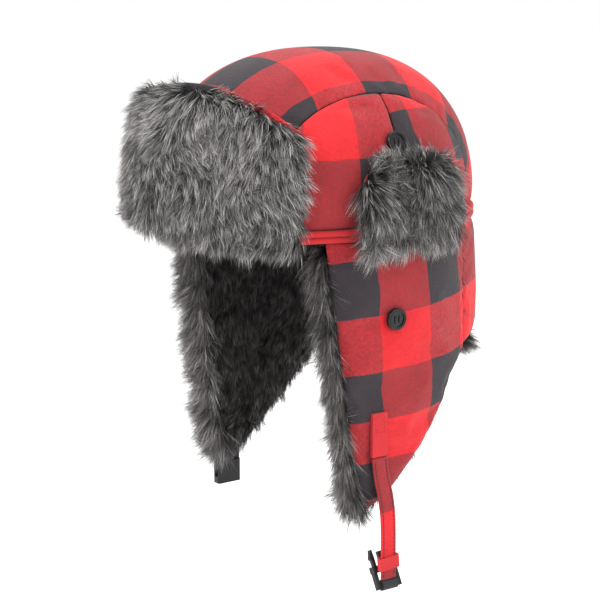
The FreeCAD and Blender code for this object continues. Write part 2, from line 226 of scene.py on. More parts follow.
def crown_side_grid(y0, y1, columns, rows):
    """The left side panel between two places front to back, from the band up to the strip."""
    end = HALF_LENGTH * math.sqrt(1 - (STRIP_HALF / HALF_WIDTH) ** 2) * 0.9995
    turn = np.linspace(math.asin(max(y0 / end, -1)), math.asin(min(y1 / end, 1)), columns)
    y = (end * np.sin(turn))[:, None]
    low = np.zeros_like(y)
    high = np.full_like(y, math.pi / 2)
    for _ in range(40):
        mid = (low + high) / 2
        x = HALF_WIDTH * crown_share(y / HALF_LENGTH, mid) * np.cos(mid)
        low, high = np.where(x > STRIP_HALF, mid, low), np.where(x > STRIP_HALF, high, mid)
    psi = low * np.linspace(0, 1, rows)[None, :]
    m = crown_share(y / HALF_LENGTH, psi)
    x = HALF_WIDTH * m * np.cos(psi)
    z = BAND_TOP + CROWN_RISE * m * np.sin(psi)
    return np.stack([x, np.broadcast_to(y, x.shape), z], -1)


def skirt_halves(z, depth):
    """Half the skirt's width and half its length at a height, this deep inside its outer face."""
    u = -z / SKIRT_DEPTH
    swell = 1 + SKIRT_SWELL[0] * u + SKIRT_SWELL[1] * u ** 2 + SKIRT_SWELL[2] * u ** 3
    return HALF_WIDTH * swell - depth, HALF_LENGTH * swell - depth


def on_side(yz, depth):
    """Points on the left side of the skirt from their (y, z)."""
    half_x, half_y = skirt_halves(yz[..., 1], depth)
    x = half_x * np.sqrt(np.maximum(1 - (yz[..., 0] / half_y) ** 2, 0))
    return np.stack([x, yz[..., 0], yz[..., 1]], -1)


def flap_outline_grid(columns, rows, grow=0.0):
    """The whole left side of the skirt as (y, z): band at the top, tip at the bottom."""
    rear_y = CREASE_REAR[0]
    top = np.stack([np.linspace(TEMPLE_Y - grow, rear_y, columns), np.full(columns, SKIRT_TOP)], -1)
    front = curve_points([(TEMPLE_Y, SKIRT_TOP)] + FRONT_EDGE, rows)
    bottom = curve_points(REAR_EDGE + [(rear_y, NAPE_BOTTOM - 0.003)], columns)
    front[:, 0] -= grow
    bottom[:, 1] -= grow * np.linspace(1, 0, columns) ** 2
    front[-1] = bottom[0] = (front[-1] + bottom[0]) / 2
    rear = np.stack([np.full(rows, rear_y), np.linspace(SKIRT_TOP, bottom[-1, 1], rows)], -1)
    s = np.linspace(0, 1, columns)[:, None, None]
    t = np.linspace(0, 1, rows)[None, :, None]
    across = (1 - s) * front[None] + s * rear[None]
    down = (1 - t) * top[:, None] + t * bottom[:, None]
    corners = ((1 - s) * (1 - t) * top[0] + s * (1 - t) * top[-1]
               + (1 - s) * t * bottom[0] + s * t * bottom[-1])
    return across + down - corners


def nape_grid(columns, rows, depth, grow=0.0):
    """The back of the skirt, between the two ear sides, from the band down."""
    s = np.linspace(-1, 1, columns)[:, None]
    drop = NAPE_BOTTOM - grow - 0.003 * np.abs(s) ** 4 - SKIRT_TOP
    z = np.linspace(0, 1, rows)[None, :] * drop + SKIRT_TOP
    half_x, half_y = skirt_halves(z, depth)
    turn = np.arccos(CREASE_REAR[0] / half_y) * s
    return np.stack([half_x * np.sin(turn), half_y * np.cos(turn), z], -1)


def visor_grid(columns, rows, depth, trim=0.0, lift=0.0, span=1.0):
    s = np.linspace(-span, span, columns)[:, None]
    turn = np.radians(VISOR_END) * s
    top = VISOR_TOP - trim + VISOR_TILT * s - VISOR_TOP_DROP * np.abs(s) ** 2.4
    low = lift * (1 - s)
    z = VISOR_BOTTOM + low + np.linspace(0, 1, rows)[None, :] * (top - VISOR_BOTTOM - low)
    close = 1 - VISOR_LEAN * z ** 2
    half_x = HALF_WIDTH * close - depth
    half_y = HALF_LENGTH * close - depth
    return np.stack([half_x * np.sin(turn), -half_y * np.cos(turn), z], -1)


def arc_length(points):
    """Running length round the hat of each point, from the left side's middle, by its direction."""
    turn = np.linspace(-math.pi, math.pi, 721)
    x, y = HALF_WIDTH * np.cos(turn), HALF_LENGTH * np.sin(turn)
    run = np.concatenate([[0], np.cumsum(np.hypot(np.diff(x), np.diff(y)))])
    run -= run[360]
    at = np.arctan2(points[..., 1] / HALF_LENGTH, points[..., 0] / HALF_WIDTH)
    return np.interp(at, turn, run)


# ---- materials

def new_material(name):
    mat = bpy.data.materials.new(name)
    mat.use_nodes = True
    tree = mat.node_tree
    shader = tree.nodes["Principled BSDF"]
    return mat, tree, shader


def add_node(tree, kind, inputs=None, **settings):
    """A node with its settings; inputs are values or other nodes' output sockets."""
    node = tree.nodes.new(kind)
    for key, value in settings.items():
        setattr(node, key, value)
    for key, value in (inputs or {}).items():
        if isinstance(value, bpy.types.NodeSocket):
            tree.links.new(value, node.inputs[key])
        else:
            node.inputs[key].default_value = value
    return node


def math_node(tree, operation, a, b=0.0, c=0.0, clamp=False):
    node = add_node(tree, "ShaderNodeMath", {0: a, 1: b, 2: c}, operation=operation, use_clamp=clamp)
    return node.outputs[0]


def mix_colour(tree, share, a, b, blend="MIX"):
    node = add_node(tree, "ShaderNodeMix", {"Factor": share}, data_type="RGBA", blend_type=blend)
    for socket, value in ((node.inputs[6], a), (node.inputs[7], b)):
        if isinstance(value, bpy.types.NodeSocket):
            tree.links.new(value, socket)
        else:
            socket.default_value = value
    return node.outputs[2]


def noise(tree, where, scale, detail=2.0):
    node = add_node(tree, "ShaderNodeTexNoise", {"Vector": where, "Scale": scale, "Detail": detail})
    return node.outputs[0]


def stripe(tree, value, period, sharp):
    """0 to 1 stripes of equal width with edges this sharp."""
    wave = math_node(tree, "SINE", math_node(tree, "MULTIPLY", value, 2 * math.pi / period))
    return math_node(tree, "MULTIPLY_ADD", wave, sharp, 0.5, clamp=True)


def add_bump(tree, shader, height, depth, strength=1.0):
    bump = add_node(tree, "ShaderNodeBump", {"Height": height, "Distance": depth, "Strength": strength})
    tree.links.new(bump.outputs[0], shader.inputs["Normal"])


RED = (0.66, 0.018, 0.024, 1)
BLACK = (0.030, 0.028, 0.033, 1)


def flannel(name, turn=0.0, shift=(0.0, 0.0)):
    """Brushed twill flannel in a buffalo check, on the Grain layout in metres."""
    mat, tree, shader = new_material(name)
    grain = add_node(tree, "ShaderNodeUVMap", uv_map="Grain").outputs[0]
    placed = add_node(tree, "ShaderNodeMapping", {"Vector": grain, "Location": (*shift, 0),
                                                  "Rotation": (0, 0, math.radians(turn))}).outputs[0]
    wobble = noise(tree, placed, 60.0, 1.0)
    wobble = math_node(tree, "MULTIPLY_ADD", wobble, 0.0024, -0.0012)
    split = add_node(tree, "ShaderNodeSeparateXYZ", {0: placed})
    u = math_node(tree, "ADD", split.outputs[0], wobble)
    v = math_node(tree, "ADD", split.outputs[1], wobble)
    diagonal = math_node(tree, "ADD", u, v)
    fibre = noise(tree, placed, 1400.0, 2.0)
    nap = noise(tree, placed, 420.0, 3.0)
    cloud = noise(tree, placed, 45.0, 3.0)
    twill = stripe(tree, diagonal, 0.0015, 0.30)
    loose = math_node(tree, "MULTIPLY_ADD", nap, 1.3, -0.65)
    twill = math_node(tree, "ADD", twill, loose, clamp=True)
    warp = mix_colour(tree, stripe(tree, u, 2 * CHECK, 30.0), RED, BLACK)
    weft = mix_colour(tree, stripe(tree, v, 2 * CHECK, 30.0), RED, BLACK)
    colour = mix_colour(tree, math_node(tree, "MULTIPLY_ADD", twill, 0.60, 0.25), warp, weft)
    haze = math_node(tree, "MULTIPLY_ADD", fibre, 0.09, -0.03, clamp=True)
    colour = mix_colour(tree, haze, colour, (0.75, 0.42, 0.42, 1))
    shade = math_node(tree, "MULTIPLY_ADD", cloud, 0.5, 0.74)
    shade = math_node(tree, "MULTIPLY_ADD", nap, 0.3, math_node(tree, "SUBTRACT", shade, 0.15))
    grey = add_node(tree, "ShaderNodeCombineColor", {0: shade, 1: shade, 2: shade}).outputs[0]
    colour = mix_colour(tree, 1.0, colour, grey, "MULTIPLY")
    tree.links.new(colour, shader.inputs["Base Color"])
    shader.inputs["Roughness"].default_value = 0.92
    shader.inputs["Specular IOR Level"].default_value = 0.2
    shader.inputs["Sheen Weight"].default_value = 0.12
    shader.inputs["Sheen Roughness"].default_value = 0.5
    height = math_node(tree, "MULTIPLY_ADD", twill, 0.4, math_node(tree, "ADD", nap, fibre))
    add_bump(tree, shader, height, 0.0005, 0.7)
    return mat


def object_space(tree):
    return add_node(tree, "ShaderNodeTexCoord").outputs["Object"]


def plain_red(name):
    """Red flannel for pieces with no Grain layout."""
    mat, tree, shader = new_material(name)
    where = object_space(tree)
    nap = noise(tree, where, 500.0, 3.0)
    cloud = noise(tree, where, 60.0, 2.0)
    split = add_node(tree, "ShaderNodeSeparateXYZ", {0: where})
    around = math_node(tree, "ADD", split.outputs[1], split.outputs[2])
    twill = stripe(tree, math_node(tree, "ADD", around, split.outputs[0]), 0.0022, 0.5)
    colour = mix_colour(tree, math_node(tree, "MULTIPLY", twill, 0.3), RED, (0.36, 0.012, 0.02, 1))
    colour = mix_colour(tree, math_node(tree, "MULTIPLY", cloud, 0.5), colour, (0.30, 0.01, 0.014, 1))
    tree.links.new(colour, shader.inputs["Base Color"])
    shader.inputs["Roughness"].default_value = 0.9
    shader.inputs["Sheen Weight"].default_value = 0.1
    add_bump(tree, shader, nap, 0.0006, 0.7)
    return mat


def fur_material(name, root, tip, start, full):
    """Pile: dark at the roots, light at the tips; each strand's layout holds its shade and its length."""
    mat, tree, shader = new_material(name)
    uv = add_node(tree, "ShaderNodeUVMap", uv_map="OFBake").outputs[0]
    split = add_node(tree, "ShaderNodeSeparateXYZ", {0: uv})
    up = add_node(tree, "ShaderNodeMapRange", {0: split.outputs[1], 1: start, 2: full},
                  interpolation_type="SMOOTHSTEP").outputs[0]
    share = math_node(tree, "MULTIPLY", up, split.outputs[0])
    tree.links.new(mix_colour(tree, share, root, tip), shader.inputs["Base Color"])
    shader.inputs["Roughness"].default_value = 0.55
    shader.inputs["Specular IOR Level"].default_value = 0.35
    return mat


def backing_material(name, colour):
    """The dark knitted ground under the pile."""
    mat, tree, shader = new_material(name)
    where = object_space(tree)
    grain = noise(tree, where, 700.0, 3.0)
    light = tuple(min(1, 2.2 * c) for c in colour[:3]) + (1,)
    tree.links.new(mix_colour(tree, grain, colour, light), shader.inputs["Base Color"])
    shader.inputs["Roughness"].default_value = 0.95
    add_bump(tree, shader, grain, 0.001, 1.0)
    return mat


def quilted(name):
    """Black satin quilted in diamonds."""
    mat, tree, shader = new_material(name)
    where = object_space(tree)
    split = add_node(tree, "ShaderNodeSeparateXYZ", {0: where})
    around = math_node(tree, "ARCTAN2", split.outputs[1], split.outputs[0])
    around = math_node(tree, "MULTIPLY", around, 0.085)
    lines = []
    for sign in (1.0, -1.0):
        slant = math_node(tree, "MULTIPLY_ADD", around, sign, split.outputs[2])
        wave = math_node(tree, "SINE", math_node(tree, "MULTIPLY", slant, math.pi / 0.032))
        lines.append(math_node(tree, "POWER", math_node(tree, "ABSOLUTE", wave), 0.35))
    height = math_node(tree, "MULTIPLY", lines[0], lines[1])
    colour = mix_colour(tree, height, (0.006, 0.006, 0.007, 1), (0.022, 0.022, 0.025, 1))
    tree.links.new(colour, shader.inputs["Base Color"])
    shader.inputs["Roughness"].default_value = 0.38
    add_bump(tree, shader, height, 0.002, 0.8)
    return mat


def ribbed(name, colour, pitch, axis):
    """Woven tape or webbing, with ribs across it."""
    mat, tree, shader = new_material(name)
    split = add_node(tree, "ShaderNodeSeparateXYZ", {0: object_space(tree)})
    ribs = stripe(tree, split.outputs[axis], pitch, 0.5)
    cross = math_node(tree, "ADD", split.outputs[(axis + 1) % 3], split.outputs[(axis + 2) % 3])
    threads = stripe(tree, cross, pitch * 0.8, 0.5)
    height = math_node(tree, "MULTIPLY_ADD", ribs, 0.7, math_node(tree, "MULTIPLY", threads, 0.3))
    light = tuple(min(1, 2.4 * c) for c in colour[:3]) + (1,)
    tree.links.new(mix_colour(tree, height, colour, light), shader.inputs["Base Color"])
    shader.inputs["Roughness"].default_value = 0.7
    add_bump(tree, shader, height, 0.0004, 0.8)
    return mat


def plastic(name, colour, rough, coat):
    """Moulded plastic with a faint grain and handling marks."""
    mat, tree, shader = new_material(name)
    where = object_space(tree)
    marks = noise(tree, where, 260.0, 4.0)
    light = tuple(min(1, 1.7 * c) for c in colour[:3]) + (1,)
    tree.links.new(mix_colour(tree, marks, colour, light), shader.inputs["Base Color"])
    scuff = math_node(tree, "MULTIPLY_ADD", marks, 0.18, rough - 0.09, clamp=True)
    tree.links.new(scuff, shader.inputs["Roughness"])
    shader.inputs["Specular IOR Level"].default_value = 0.3
    shader.inputs["Coat Weight"].default_value = coat
    shader.inputs["Coat Roughness"].default_value = 0.06
    add_bump(tree, shader, noise(tree, where, 1500.0, 2.0), 0.00008, 0.4)
    return mat


def thread(name, colour):
    """Sewing thread, with the twist of its strands."""
    mat, tree, shader = new_material(name)
    split = add_node(tree, "ShaderNodeSeparateXYZ", {0: object_space(tree)})
    run = math_node(tree, "ADD", split.outputs[1], split.outputs[2])
    twist = stripe(tree, math_node(tree, "ADD", run, split.outputs[0]), 0.0005, 0.5)
    dark = tuple(0.5 * c for c in colour[:3]) + (1,)
    tree.links.new(mix_colour(tree, twist, dark, colour), shader.inputs["Base Color"])
    shader.inputs["Roughness"].default_value = 0.6
    add_bump(tree, shader, twist, 0.0001, 0.6)
    return mat


def paint(obj, mat):
    """Give a new piece, or a carried-over CAD node, its one material."""
    if obj.material_slots:
        for place in obj.material_slots:
            place.material = mat
    else:
        obj.data.materials.append(mat)


RED_FLANNEL = plain_red("red_flannel")
STRIP_CHECK = flannel("strip_check", shift=(-0.060, 0.0035))
SIDE_CHECK = flannel("side_check", shift=(0.0, 0.0))
SKIRT_CHECK = flannel("skirt_check", turn=-3.0, shift=(-0.0228, 0.056))
STRAP_CHECK = flannel("strap_check", shift=(0.010, 0.0))
VISOR_CHECK = flannel("visor_check")
STRAND_LIGHT = fur_material("visor_strands", (0.012, 0.011, 0.011, 1), (0.80, 0.77, 0.75, 1), 0.35, 0.95)
STRAND_DARK = fur_material("lining_strands", (0.010, 0.009, 0.009, 1), (0.66, 0.62, 0.60, 1), 0.35, 0.95)
STRAND_EDGE = fur_material("edge_strands", (0.016, 0.015, 0.015, 1), (0.70, 0.66, 0.64, 1), 0.05, 0.85)
GROUND_LIGHT = backing_material("visor_ground", (0.022, 0.021, 0.021, 1))
GROUND_DARK = backing_material("lining_ground", (0.010, 0.009, 0.009, 1))
LINING = quilted("quilted_lining")
TAPE = ribbed("band_tape", (0.012, 0.012, 0.013, 1), 0.0016, 2)
WEBBING = ribbed("webbing", (0.010, 0.010, 0.011, 1), 0.0014, 2)
ELASTIC = ribbed("elastic", (0.012, 0.012, 0.013, 1), 0.0008, 2)
BUTTON = plastic("button_black", (0.007, 0.007, 0.008, 1), 0.18, 0.15)
BUCKLE = plastic("buckle_black", (0.008, 0.008, 0.009, 1), 0.40, 0.0)
BLACK_THREAD = thread("black_thread", (0.02, 0.02, 0.022, 1))
RED_THREAD = thread("red_thread", (0.72, 0.05, 0.06, 1))


# ---- padded cloth

def cloth_panel(name, points, mat, grain, sunk=0.0020, edge=3):
    """A padded cloth panel: its rim is held a little below the surface and the rest may swell."""
    columns, rows = points.shape[:2]
    normals = grid_normals(points)
    i = np.arange(columns)[:, None]
    j = np.arange(rows)[None, :]
    off = np.minimum(np.minimum(i, columns - 1 - i) / edge, np.minimum(j, rows - 1 - j) / edge)
    off = np.clip(off, 0, 1)
    depth = sunk * (1 - off) ** 2 + 0.0003 * smooth_noise(points, 0.012, len(name)) * (off < 1)
    verts = (points - normals * depth[..., None]).reshape(-1, 3)
    faces = grid_faces(columns, rows)
    obj = new_object(name, verts, faces)
    if not flat_outward(obj, normals.reshape(-1, 3)):
        obj.data.flip_normals()
    add_uv(obj, "Grain", grain.reshape(-1, 2))
    obj.data.materials.append(mat)
    held = obj.vertex_groups.new(name="held")
    rim = (i == 0) | (i == columns - 1) | (j == 0) | (j == rows - 1)
    held.add([int(k) for k in np.flatnonzero(rim.ravel())], 1.0, "REPLACE")
    return obj


def flat_outward(obj, wanted):
    """True if the panel's faces point the wanted way."""
    n = np.empty(len(obj.data.vertices) * 3)
    obj.data.vertices.foreach_get("normal", n)
    return (n.reshape(-1, 3) * wanted).sum() > 0


def swell(panels, pressure, spare, cap):
    """Let the panels fill out together in one short cloth simulation, then keep the result."""
    scene = bpy.context.scene
    rest = {}
    for obj in panels:
        rest[obj.name] = coordinates(obj)
        cloth = obj.modifiers.new("cloth", "CLOTH")
        settings = cloth.settings
        settings.quality = 6
        settings.mass = 0.25
        settings.tension_stiffness = 20
        settings.compression_stiffness = 20
        settings.shear_stiffness = 8
        settings.bending_stiffness = 1.2
        settings.air_damping = 4
        settings.use_pressure = True
        settings.uniform_pressure_force = pressure
        settings.shrink_min = -spare
        settings.vertex_group_mass = "held"
        settings.effector_weights.gravity = 0
        cloth.collision_settings.use_collision = False
        cloth.point_cache.frame_end = SIM_FRAMES
    for step in range(1, SIM_FRAMES + 1):
        scene.frame_set(step)
    graph = bpy.context.evaluated_depsgraph_get()
    for obj in panels:
        swollen = coordinates(obj.evaluated_get(graph))
        move = swollen - rest[obj.name]
        size = np.linalg.norm(move, axis=1, keepdims=True)
        move *= np.minimum(1, cap / np.maximum(size, 1e-9))
        obj.modifiers.clear()
        set_coordinates(obj, rest[obj.name] + move)
    scene.frame_set(1)


def finish_cloth(obj):
    """Give a panel its cloth thickness inward, a closed rim and one subdivision."""
    wall = obj.modifiers.new("thickness", "SOLIDIFY")
    wall.thickness = CLOTH_THICK
    wall.offset = -1
    finer = obj.modifiers.new("finer", "SUBSURF")
    finer.levels = finer.render_levels = 1
    apply_modifiers(obj)
    obj.vertex_groups.clear()


def crown():
    strip = crown_strip_grid(41, 101)
    strip_grain = np.stack([run_across(strip), run_along(strip)], -1)
    top = cloth_panel("crown_top", strip, STRIP_CHECK, strip_grain)
    panels = [(top, ["crown_top_strip", "strip_wadding"])]
    sides = [
        ("front", -1.0, SIDE_SEAM_Y, 0.0274, 0.0, 0.88),
        ("rear", SIDE_SEAM_Y, 1.0, 0.0121, -0.036, 1.0),
    ]
    for part, y0, y1, across, up, stretch in sides:
        left = crown_side_grid(y0, y1, 30, 30)
        grain = np.stack([arc_length(left) + across, run_up(left) * stretch + up], -1)
        for side, points in (("left", left), ("right", left * [-1, 1, 1])):
            panel = cloth_panel(f"crown_{part}_{side}", points, SIDE_CHECK, grain)
            panels.append((panel, [f"crown_side_{part}_{side}", f"side_wadding_{part}_{side}"]))
    return panels


def run_up(points):
    """Distance along each column from its first row."""
    run = np.zeros(points.shape[:2])
    run[:, 1:] = np.cumsum(np.linalg.norm(np.diff(points, axis=1), axis=-1), axis=1)
    return run


def run_along(points):
    """Distance along each column from its middle row."""
    run = run_up(points)
    return run - run[:, points.shape[1] // 2][:, None]


def run_across(points):
    """Distance along each row from its middle column."""
    return run_along(points.swapaxes(0, 1)).swapaxes(0, 1)


def skirt_grain(run, z):
    """The skirt's check: its rows draw closer together where the cloth curls in low down."""
    return np.stack([run, 1.05 * z - 2.6 * np.maximum(-z - 0.080, 0) ** 2], -1)


def side_cloth(side):
    yz = flap_outline_grid(45, 65)
    points = on_side(yz, 0.0)
    grain = skirt_grain(arc_length(points), points[..., 2])
    if side == "right":
        points = points * [-1, 1, 1]
    return cloth_panel(f"ear_side_{side}", points, SKIRT_CHECK, grain, sunk=0.0022)


def nape_cloth():
    points = nape_grid(57, 31, 0.0)
    run = arc_length(np.where(points[..., :1] < 0, points * [-1, 1, 1], points))
    middle = arc_length(np.array([[[0.0, HALF_LENGTH, 0.0]]]))[0, 0]
    run = np.where(points[..., 0] < 0, 2 * middle - run, run)
    return cloth_panel("nape_cloth", points, SKIRT_CHECK, skirt_grain(run, points[..., 2]), sunk=0.0022)


def visor_cloth():
    """The plaid back of the visor, towards the crown."""
    inner = visor_grid(71, 27, -VISOR_FACE)
    grain = np.stack([inner[..., 0] * 1.15, inner[..., 2]], -1)
    obj = cloth_panel("visor_plaid", inner[::-1], VISOR_CHECK, grain[::-1], sunk=-0.001)
    obj.data.flip_normals()
    return obj


crown_panels = crown()
ear_sides = {side: side_cloth(side) for side in ("left", "right")}
nape = nape_cloth()
visor_back = visor_cloth()
swell([p for p, _ in crown_panels], pressure=2.5, spare=0.020, cap=0.0055)
swell(list(ear_sides.values()) + [nape], pressure=1.6, spare=0.016, cap=0.0045)

for panel, nodes in crown_panels:
    finish_cloth(panel)
    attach(panel, "hat")
    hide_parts(*nodes)

finish_cloth(nape)
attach(nape, "hat")
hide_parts("nape_shell", "nape_wadding")


# ---- pile

VISOR_STRANDS = 38000  # in each of the visor's two pieces of pile
LINING_STRANDS = 26000
FRINGE_STRANDS = 14000
DOOR_STRANDS = 24000


def pad_body(name, inner, outer, mat, roundness=5.0):
    """A closed body between two sheets of points, its edges pulled in round."""
    columns, rows = inner.shape[:2]
    s = np.abs(np.linspace(-1, 1, columns))[:, None]
    t = np.abs(np.linspace(-1, 1, rows))[None, :]
    crest = (1 - s ** roundness) ** 0.5 * (1 - t ** roundness) ** 0.5
    middle = inner + (outer - inner) * 0.35
    low = middle + (inner - middle) * crest[..., None]
    high = middle + (outer - middle) * crest[..., None]
    verts = np.concatenate([low.reshape(-1, 3), high.reshape(-1, 3)])
    faces = grid_faces(columns, rows)
    faces += [tuple(k + columns * rows for k in reversed(f)) for f in faces]
    obj = new_object(name, verts, faces)
    shape = bmesh.new()
    shape.from_mesh(obj.data)
    bmesh.ops.remove_doubles(shape, verts=shape.verts, dist=0.00005)
    bmesh.ops.recalc_face_normals(shape, faces=shape.faces)
    shape.to_mesh(obj.data)
    shape.free()
    obj.data.polygons.foreach_set("use_smooth", [True] * len(obj.data.polygons))
    obj.data.materials.append(mat)
    return obj


def scatter(obj, count, rng, share=None):
    """Points spread evenly over a mesh, with smooth normals; share thins them out by place."""
    mesh = obj.data
    mesh.calc_loop_triangles()
    tri = np.empty(len(mesh.loop_triangles) * 3, int)
    mesh.loop_triangles.foreach_get("vertices", tri)
    tri = tri.reshape(-1, 3)
    co = coordinates(obj)
    normals = np.empty(len(mesh.vertices) * 3)
    mesh.vertices.foreach_get("normal", normals)
    normals = normals.reshape(-1, 3)
    a, b, c = co[tri[:, 0]], co[tri[:, 1]], co[tri[:, 2]]
    face_normal = np.cross(b - a, c - a)
    area = np.linalg.norm(face_normal, axis=1)
    if share is not None:
        area = area * share((a + b + c) / 3, unit(face_normal))
    pick = rng.choice(len(tri), count, p=area / area.sum())
    w = rng.dirichlet((1, 1, 1), count)
    at = sum(co[tri[pick, k]] * w[:, k:k + 1] for k in range(3))
    n = unit(sum(normals[tri[pick, k]] * w[:, k:k + 1] for k in range(3)))
    return at, n


def strands(name, roots, normals, lay, length, shade, mat, seed,
            tilt=50.0, clump=0.65, size=18, width=0.00042):
    """Pile as tapered ribbons of three spans that lie over and draw together in clumps."""
    rng = np.random.default_rng(seed)
    count = len(roots)
    across = lay - normals * (lay * normals).sum(-1, keepdims=True)
    across = unit(unit(across) + 0.35 * rng.normal(size=(count, 3)))
    lean = np.radians(tilt + rng.normal(0, 9, count))[:, None]
    start = unit(normals * np.cos(lean) + across * np.sin(lean) + 0.10 * rng.normal(size=(count, 3)))
    bend = 0.30 * across - 0.22 * normals + np.array([0, 0, -0.16]) + 0.10 * rng.normal(size=(count, 3))
    length = (length * rng.uniform(0.72, 1.15, count))[:, None]
    stations = (0.0, 0.34, 0.68, 1.0)
    line = [roots + length * (t * start + t ** 2 * bend) for t in stations]

    centres = rng.choice(count, max(count // size, 1), replace=False)
    tree = kdtree.KDTree(len(centres))
    for k, c in enumerate(centres):
        tree.insert(Vector(roots[c]), k)
    tree.balance()
    nearest = centres[[tree.find(Vector(p))[1] for p in roots]]
    pull = clump * rng.uniform(0.5, 1.0, count)[:, None]
    gather = line[-1][nearest] - line[-1]
    line = [p + gather * pull * t ** 1.5 for p, t in zip(line, stations)]

    ribbon = unit(np.cross(start, normals + 0.8 * rng.normal(size=(count, 3))))
    half = (width * rng.uniform(0.6, 1.25, count) / 2)[:, None]
    verts = []
    for p, taper in zip(line[:3], (1.0, 0.9, 0.6)):
        verts += [p - ribbon * half * taper, p + ribbon * half * taper]
    verts.append(line[3])
    verts = np.stack(verts, 1)
    layout = np.array([0, 1, 3, 2, 2, 3, 5, 4, 4, 5, 6])
    loops = (np.arange(count)[:, None] * 7 + layout).ravel()
    starts = (np.arange(count)[:, None] * 11 + np.array([0, 4, 8])).ravel()

    mesh = bpy.data.meshes.new(name)
    mesh.vertices.add(count * 7)
    mesh.vertices.foreach_set("co", verts.ravel())
    mesh.loops.add(count * 11)
    mesh.loops.foreach_set("vertex_index", loops)
    mesh.polygons.add(count * 3)
    mesh.polygons.foreach_set("loop_start", starts)
    mesh.update(calc_edges=True)
    mesh.validate()
    obj = bpy.data.objects.new(name, mesh)
    bpy.context.scene.collection.objects.link(obj)
    clump_shade = rng.uniform(0.20, 1.90, count)[nearest]
    pale = rng.uniform(0, 1, count) < 0.25
    tone = np.clip(shade * clump_shade * np.where(pale, 1.9, rng.uniform(0.15, 1.0, count)), 0.02, 0.98)
    up = np.array([0.02, 0.02, 0.34, 0.34, 0.68, 0.68, 0.98])
    uv = np.stack([np.broadcast_to(tone[:, None], (count, 7)), np.broadcast_to(up, (count, 7))], -1)
    add_uv(obj, "OFBake", uv.reshape(-1, 2))
    obj.data.materials.append(mat)
    return obj


def visor_pile():
    inner = visor_grid(81, 31, -VISOR_FACE - 0.0016, trim=0.004, lift=0.008, span=0.985)
    outer = visor_grid(81, 31, -VISOR_FACE - 0.0110, trim=0.004, lift=0.008, span=0.985)
    body = pad_body("visor_pad", inner, outer, GROUND_LIGHT)
    rng = np.random.default_rng(SEED)

    def share(at, n):
        outward = unit(at * [1, 1, 0])
        return np.clip((n * outward).sum(-1) + 0.35, 0, 1)

    pieces = [body]
    for k in range(2):
        roots, normals = scatter(body, VISOR_STRANDS, rng, share)
        swirl = np.stack([smooth_noise(roots, 0.05, s) for s in (1, 2, 3)], -1)
        lay = np.array([0, 0, -1.0]) + 0.75 * swirl + 0.35 * unit(roots * [1, 0, 0])
        lay = lay + 0.6 * unit(roots * [1, 1, 0])
        # The height term is painted shade and light: the pile's tone is darker towards the bottom of the
        # visor and lighter towards its top. The noise term varies the tone at random.
        shade = 0.47 + 0.13 * smooth_noise(roots, 0.014, 7) + 0.30 * (roots[:, 2] / VISOR_TOP - 0.5)
        pieces.append(strands(f"visor_pile_{k + 1}", roots, normals, lay, 0.0150, shade, STRAND_LIGHT,
                              SEED + k, tilt=54.0, clump=0.94, size=14, width=0.00044))
    return pieces


for side, cloth in ear_sides.items():
    finish_cloth(cloth)
finish_cloth(visor_back)
visor_pieces = visor_pile()
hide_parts("visor_backing", "visor_wadding")
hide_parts("visor_pile")
for piece in [visor_back] + visor_pieces:
    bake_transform(piece)


# ---- ear flaps, nape and their lining

FUR_BACK = 0.0046  # depth of the lining's ground inside the cloth
FUR_FACE = 0.0115
CREASE_MIDDLE = Vector((0.079, *((a + b) / 2 for a, b in zip(CREASE_FRONT, CREASE_REAR))))


def over_crease(obj, side):
    """Bake the piece's placement into its mesh."""
    middle = Vector(CREASE_MIDDLE)
    if side == "right":
        middle.x = -middle.x
    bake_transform(obj)


def lining_share(at, n):
    outward = unit(at * [1, 1, 0])
    away = (n * outward).sum(-1)
    front = (np.abs(away) < 0.8) & (n[:, 1] < 0.35)
    return np.where(away > 0.6, 0, 1.0 + 2.5 * front) * (at[:, 2] < SKIRT_TOP - 0.004)


def lining_strands(name, body, count, seed, forward=0.6):
    """Pile on the inner side of the skirt; at its front edges some of it turns out over the cloth."""
    rng = np.random.default_rng(seed)
    roots, normals = scatter(body, count, rng, lining_share)
    outward = unit(roots * [1, 1, 0])
    edge = np.clip(1 - np.abs((normals * outward).sum(-1)), 0, 1)
    front = edge * np.clip(0.5 - 1.2 * normals[:, 1], 0, 1)
    curl = front * (rng.uniform(0, 1, count) < 0.55)
    swirl = np.stack([smooth_noise(roots, 0.05, s) for s in (4, 5, 6)], -1)
    lay = np.array([0, -forward, -1.0]) + 0.5 * swirl + 1.8 * curl[:, None] * outward
    shade = 0.17 + 0.28 * front + 0.05 * smooth_noise(roots, 0.02, 8)
    rear = edge * np.clip(2 * normals[:, 1], 0, 1)
    length = 0.0125 + 0.006 * front - 0.006 * rear
    return strands(name, roots, normals, lay, length, shade, STRAND_DARK, seed,
                   tilt=40.0, clump=0.9, size=14)


